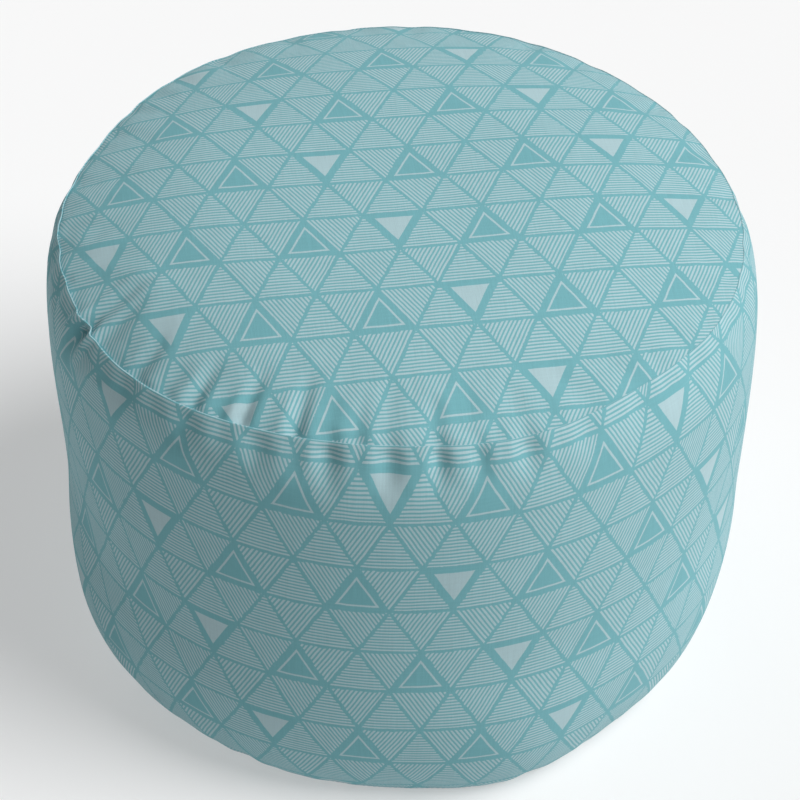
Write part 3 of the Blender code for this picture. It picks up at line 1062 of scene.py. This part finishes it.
def mixed(tree, share, first, second, blend="MIX"):
    """Mix two colours; each is a colour or a socket, and so is the share."""
    values = {0: share, 6: first, 7: second}
    return add_node(tree, "ShaderNodeMix", values, data_type="RGBA", blend_type=blend).outputs[2]


def printed_cloth():
    """The one printed cloth of the cover."""
    material, tree, shader = new_material("printed_cloth", CLOTH_SHINE)
    flat = add_node(tree, "ShaderNodeUVMap", uv_map=CLOTH_MAP).outputs["UV"]
    lines, weave = (add_node(tree, "ShaderNodeGroup", {"Cloth": flat}, node_tree=group).outputs
                    for group in (PRINT_GROUP, WEAVE_GROUP))
    inked = mixed(tree, lines["Print"], GROUND, INK)
    # Slow noise gives the cloth's own tone; the weave's tone brings its painted shade between the
    # threads.
    tone_and_shade = noise(tree, flat, PATCH_SCALE, 3.0) * PATCH_CHANGE + Sum(tree, weave["Tone"])
    grey = add_node(tree, "ShaderNodeCombineColor", dict.fromkeys(("Red", "Green", "Blue"), tone_and_shade))
    feed(tree, shader["Base Color"], mixed(tree, 1.0, inked, grey.outputs["Color"], "MULTIPLY"))
    rough = noise(tree, flat, ROUGHNESS_SCALE) * ROUGHNESS_CHANGE + CLOTH_ROUGHNESS
    feed(tree, shader["Roughness"], rough)
    bump = add_node(tree, "ShaderNodeBump", {"Distance": WEAVE_HEIGHT, "Height": weave["Height"]})
    feed(tree, shader["Normal"], bump.outputs["Normal"])
    return material


PRINTED_CLOTH = printed_cloth()
for cloth_piece in (top_cloth, wall_cloth, base_cloth):
    cloth_piece.data.materials.append(PRINTED_CLOTH)
print("one cloth on three pieces, with", len(PRINTED_CLOTH.node_tree.nodes), "nodes")

# %% [markdown]
# ## The sewing thread
#
# The cover is sewn inside out and turned, so on the real thing only short glimpses of the
# thread lie sunk in its seams: round the top, round the foot, and up the seam at the back
# that closes the band. Each stitch could be placed by a loop in the script. Geometry
# Nodes suit it better, because a seam is a path and a stitch repeats along it. The path is
# resampled, a small stitch stands in for each point and turns along the path, and at the
# end the stitches are made real, because a copy that isn't real is lost on export.

# %% A row of stitches
STITCH_STEP = 3.8 * MM
STITCH_LENGTH = 2.7 * MM
THREAD_THICKNESS = 0.42 * MM
STITCH_SEED = 4
STITCH_SIDES = 6
STITCH_RINGS = 5
STITCH_SIZES = (0.80, 1.10)
TREE_INPUTS = {"Geometry": "Geometry", "Step": "Float", "Length": "Float", "Thickness": "Float",
               "Seed": "Int", "Thread": "Material"}


def row_of_stitches():
    """A Geometry Nodes tree that sews stitches along paths made of edges."""
    tree = bpy.data.node_groups.new("row of stitches", "GeometryNodeTree")
    tree.is_modifier = True
    for label, kind in TREE_INPUTS.items():
        tree.interface.new_socket(label, in_out="INPUT", socket_type="NodeSocket" + kind)
    tree.interface.new_socket("Geometry", in_out="OUTPUT", socket_type="NodeSocketGeometry")
    start = tree.nodes.new("NodeGroupInput").outputs

    def add(kind, output, inputs=None, **settings):
        return add_node(tree, kind, inputs, **settings).outputs[output]

    path = add("GeometryNodeMeshToCurve", "Curve", {"Mesh": start["Geometry"]})
    steps = {"Curve": path, "Length": start["Step"]}
    even = add("GeometryNodeResampleCurve", "Curve", steps, mode="LENGTH")
    sides = {"Segments": STITCH_SIDES, "Rings": STITCH_RINGS, "Radius": 0.5}
    stitch = add("GeometryNodeMeshUVSphere", "Mesh", sides)
    thick, long = start["Thickness"], start["Length"]
    size = add("ShaderNodeCombineXYZ", "Vector", {"X": thick, "Y": thick, "Z": long})
    ends = {2: STITCH_SIZES[0], 3: STITCH_SIZES[1], "Seed": start["Seed"]}
    uneven_size = add("FunctionNodeRandomValue", 1, ends, data_type="FLOAT")
    scaled = add("ShaderNodeVectorMath", "Vector", {0: size, "Scale": uneven_size}, operation="SCALE")
    tangent = add("GeometryNodeInputTangent", "Tangent")
    turned = add("FunctionNodeAlignRotationToVector", "Rotation", {"Vector": tangent}, axis="Z")
    placed = {"Points": even, "Instance": stitch, "Rotation": turned, "Scale": scaled}
    sewn = add("GeometryNodeInstanceOnPoints", "Instances", placed)
    real = add("GeometryNodeRealizeInstances", "Geometry", {"Geometry": sewn})
    dyed = add("GeometryNodeSetMaterial", "Geometry", {"Geometry": real, "Material": start["Thread"]})
    add_node(tree, "NodeGroupOutput", {"Geometry": dyed})
    return tree


STITCH_TREE = row_of_stitches()
print("stitch tree:", len(STITCH_TREE.nodes), "nodes")

# %% [markdown]
# ## The thread itself and its paths
#
# Sewing thread is polyester or cotton in the colour of the ground, smoother than the cloth
# and twisted from plies. At half a millimetre the twist is only a shimmer, so a fine noise
# on Object coordinates paints it into the colour as a painted shimmer, lighter where the
# twist would catch the light, and nothing more is spent on it.
#
# Each path is a run of edges, read from the same formulas as the seam that it lies in.

# %% Sewing thread
THREAD_COLOUR = (0.235, 0.470, 0.520, 1.0)
# The lighter colour of the painted shimmer on the thread's twist.
THREAD_SHIMMER = (0.330, 0.560, 0.600, 1.0)
THREAD_ROUGHNESS = 0.62
WORN_SCALE = 900.0
WORN_CHANGE = 0.2
PLY_SCALE = 2600.0
TOP_SINK = 0.12 * MM
FOOT_SINK = 0.30 * MM
CLOSING_FROM = 0.020
CLOSING_TO = 0.330
PATH_STEPS = 480


def thread_finish():
    """Twisted thread, a little lighter than the ground of the print, with a painted shimmer on its twist.
    """
    material, tree, shader = new_material("sewing_thread", {"Specular IOR Level": 0.3})
    place = add_node(tree, "ShaderNodeTexCoord").outputs["Object"]
    # Painted shimmer: fine noise lightens the colour where the twist would catch the light.
    painted_shimmer = noise(tree, place, PLY_SCALE, 1.0) + 0.5
    feed(tree, shader["Base Color"], mixed(tree, painted_shimmer, THREAD_COLOUR, THREAD_SHIMMER))
    rough = noise(tree, place, WORN_SCALE, 1.0) * WORN_CHANGE + THREAD_ROUGHNESS
    feed(tree, shader["Roughness"], rough)
    return material


def seam_paths():
    """The three seams as runs of points, each with whether it closes."""
    bearing = np.linspace(-180.0, 180.0, PATH_STEPS, endpoint=False)
    edge_radius, edge_height = panel_point(bearing, behind_lip(bearing))
    foot = FOOT_RADIUS + foot_seam_shift(bearing)
    climb = np.linspace(CLOSING_FROM, CLOSING_TO, PATH_STEPS // 4)
    back_radius, back_height = wall_point(CLOSING_BEARING, climb)
    return ((on_ring(bearing, edge_radius, edge_height - TOP_SINK), True),
            (on_ring(bearing, foot - FOOT_SINK, FOOT_HEIGHT - FOOT_SINK), True),
            (on_ring(CLOSING_BEARING + 0.0 * climb, back_radius, back_height), False))


def sewing_thread():
    """All stitches of the cover as one plain mesh."""
    points = []
    edges = []
    for path, closes in seam_paths():
        first, count = len(points), len(path)
        points.extend(path.tolist())
        edges.extend((first + step, first + step + 1) for step in range(count - 1))
        if closes:
            edges.append((first + count - 1, first))
    mesh = bpy.data.meshes.new("seam_paths")
    mesh.from_pydata(points, edges, [])
    paths = add_object("seam_paths", mesh)

    sewing = paths.modifiers.new("stitches", "NODES")
    sewing.node_group = STITCH_TREE
    values = {"Step": STITCH_STEP, "Length": STITCH_LENGTH, "Thickness": THREAD_THICKNESS,
              "Seed": STITCH_SEED, "Thread": thread_finish()}
    for item in STITCH_TREE.interface.items_tree:
        if item.in_out == "INPUT" and item.name in values:
            sewing[item.identifier] = values[item.name]
    found = paths.evaluated_get(bpy.context.evaluated_depsgraph_get())
    stitches = bpy.data.meshes.new_from_object(found)
    stitches.shade_smooth()
    bpy.data.objects.remove(paths)
    print("thread:", len(stitches.polygons), "faces")
    return add_object("sewing_thread", stitches)


thread = sewing_thread()

# %% [markdown]
# ## Floor and light
#
# The pouf stands on a plain pale floor in a soft studio light from the right and a little
# in front. A weak second one from behind on the left parts its far side from the
# background. Suns with a wide angle give the same soft light wherever the camera goes,
# and a faint world fills the shadows. The floor glows a little of its own, like a lit
# table in a studio, so the shadow on it stays pale.

# %% Floor and lights
FLOOR_HALF = 30.0
WHITE = (1.0, 1.0, 1.0, 1.0)
FLOOR_PAINT = {"Base Color": (0.50, 0.50, 0.50, 1.0), "Roughness": 0.9, "Specular IOR Level": 0.1,
               "Emission Color": WHITE, "Emission Strength": 0.41}
KEY_FROM = Vector((0.625, -0.133, 0.77))
KEY_STRENGTH = math.pi * 1.20
KEY_ANGLE = math.radians(40)
FILL_FROM = Vector((-0.58, 0.69, 0.43))
FILL_STRENGTH = math.pi * 0.20
FILL_ANGLE = math.radians(60)
WORLD_STRENGTH = 0.04


def make_floor():
    """A wide plain floor."""
    corners = ((-1, -1), (1, -1), (1, 1), (-1, 1))
    mesh = bpy.data.meshes.new("floor")
    mesh.from_pydata([(x * FLOOR_HALF, y * FLOOR_HALF, 0.0) for x, y in corners], [], [(0, 1, 2, 3)])
    mesh.materials.append(new_material("floor_paint", FLOOR_PAINT)[0])
    floor = add_object("floor", mesh)


def make_sun(name, comes_from, strength, angle):
    """A wide sun that shines from a direction."""
    data = bpy.data.lights.new(name, "SUN")
    data.energy = strength
    data.angle = angle
    sun = add_object(name, data)
    sun.rotation_euler = comes_from.to_track_quat("Z", "Y").to_euler()


def make_world():
    """An even, faint world, and the plain view transform."""
    world = bpy.data.worlds.new("studio")
    world.use_nodes = True
    background = world.node_tree.nodes["Background"].inputs
    background["Color"].default_value = WHITE
    background["Strength"].default_value = WORLD_STRENGTH
    bpy.context.scene.world = world
    bpy.context.scene.view_settings.view_transform = "Standard"


make_floor()
make_sun("key", KEY_FROM, KEY_STRENGTH, KEY_ANGLE)
make_sun("fill", FILL_FROM, FILL_STRENGTH, FILL_ANGLE)
make_world()
print("key light from", [round(value, 2) for value in KEY_FROM.normalized()])

# %% [markdown]
# ## What each piece stands for
#
# Each skin takes the place of its solid, which is hidden, and hangs from the root of the
# model, as the sewing thread does.

# %% Pieces in place of the solids
STANDS_FOR = ((top_cloth, "top_panel"), (wall_cloth, "side_wall"), (base_cloth, "base_panel"))
for cloth_piece, node in STANDS_FOR:
    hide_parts(node)
    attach(cloth_piece, ROOT)
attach(thread, ROOT)
